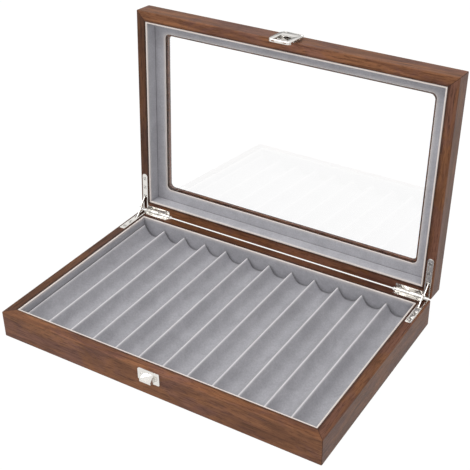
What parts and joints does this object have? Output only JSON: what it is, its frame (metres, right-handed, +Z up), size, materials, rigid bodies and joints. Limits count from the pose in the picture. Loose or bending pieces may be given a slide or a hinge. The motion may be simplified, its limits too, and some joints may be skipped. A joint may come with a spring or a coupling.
{
  "type": "pen storage box",
  "caption": "Shallow hardwood case with a grooved velvet pen tray and a hinged lid with a glass window, folding stays and a hasp.",
  "frame": {"origin": "middle of the underside, on the surface that the box stands on", "axes": "+X along the length to the right of a person facing the hasp, +Y to the hinges, +Z up"},
  "size_m": [0.34, 0.2636, 0.2551],
  "materials": {
    "walnut": "satin lacquer, fine grain",
    "panel_board": "plain board",
    "felt": "matt felt",
    "velvet": "soft short pile",
    "nickel": "bright nickel plate",
    "window_glass": "clear"
  },
  "bodies": {
    "base": {"base_front_rail": "walnut", "base_back_rail": "walnut", "base_left_rail": "walnut", "base_right_rail": "walnut", "bottom_panel": "panel_board", "bottom_felt": "felt", "base_front_lining": "velvet", "base_back_lining": "velvet", "base_left_lining": "velvet", "base_right_lining": "velvet", "pen_tray": "velvet", "base_hinge_leaf_left": "nickel", "base_hinge_leaf_right": "nickel", "hinge_pin_left": "nickel", "hinge_pin_right": "nickel", "base_stay_pin_left": "nickel", "base_stay_pin_right": "nickel", "catch_plate": "nickel"},
    "lid": {"lid_front_rail": "walnut", "lid_back_rail": "walnut", "lid_left_rail": "walnut", "lid_right_rail": "walnut", "lid_top_panel": "walnut", "glass_pane": "window_glass", "window_frame": "velvet", "lid_front_lining": "velvet", "lid_back_lining": "velvet", "lid_left_lining": "velvet", "lid_right_lining": "velvet", "lid_hinge_leaf_left": "nickel", "lid_hinge_leaf_right": "nickel", "lid_stay_pin_left": "nickel", "lid_stay_pin_right": "nickel", "hasp_plate": "nickel", "hasp_pin": "nickel"},
    "hasp": {"hasp_flap": "nickel"},
    "lower_stay_left": {"lower_stay_link_left": "nickel"},
    "upper_stay_left": {"upper_stay_link_left": "nickel"},
    "lower_stay_right": {"lower_stay_link_right": "nickel"},
    "upper_stay_right": {"upper_stay_link_right": "nickel"}
  },
  "joints": [
    {"name": "lid_hinge", "type": "hinge", "parent": "base", "child": "lid", "pos_m": [0, 0.1113, 0.0283], "axis": [1, 0, 0], "range_deg": [0, 93.5]},
    {"name": "hasp_hinge", "type": "hinge", "parent": "lid", "child": "hasp", "pos_m": [0, 0.13979, 0.25168], "axis": [-1, 0, 0], "range_deg": [0, 120]},
    {"name": "lower_stay_pivot_left", "type": "hinge", "parent": "base", "child": "lower_stay_left", "pos_m": [-0.1649, 0.0948, 0.0272], "axis": [1, 0, 0], "range_deg": [-38.37, 0]},
    {"name": "upper_stay_pivot_left", "type": "hinge", "parent": "lid", "child": "upper_stay_left", "pos_m": [-0.1649, 0.11341, 0.0447], "axis": [1, 0, 0], "range_deg": [0, 38.37]},
    {"name": "lower_stay_pivot_right", "type": "hinge", "parent": "base", "child": "lower_stay_right", "pos_m": [0.1649, 0.0948, 0.0272], "axis": [1, 0, 0], "range_deg": [-38.37, 0]},
    {"name": "upper_stay_pivot_right", "type": "hinge", "parent": "lid", "child": "upper_stay_right", "pos_m": [0.1649, 0.11341, 0.0447], "axis": [1, 0, 0], "range_deg": [0, 38.37]}
  ],
  "couplings": [
    {"joint": "lower_stay_pivot_left", "follows": "lid_hinge", "ratio": -0.4097},
    {"joint": "upper_stay_pivot_left", "follows": "lid_hinge", "ratio": 0.4097},
    {"joint": "lower_stay_pivot_right", "follows": "lid_hinge", "ratio": -0.4097},
    {"joint": "upper_stay_pivot_right", "follows": "lid_hinge", "ratio": 0.4097}
  ]
}
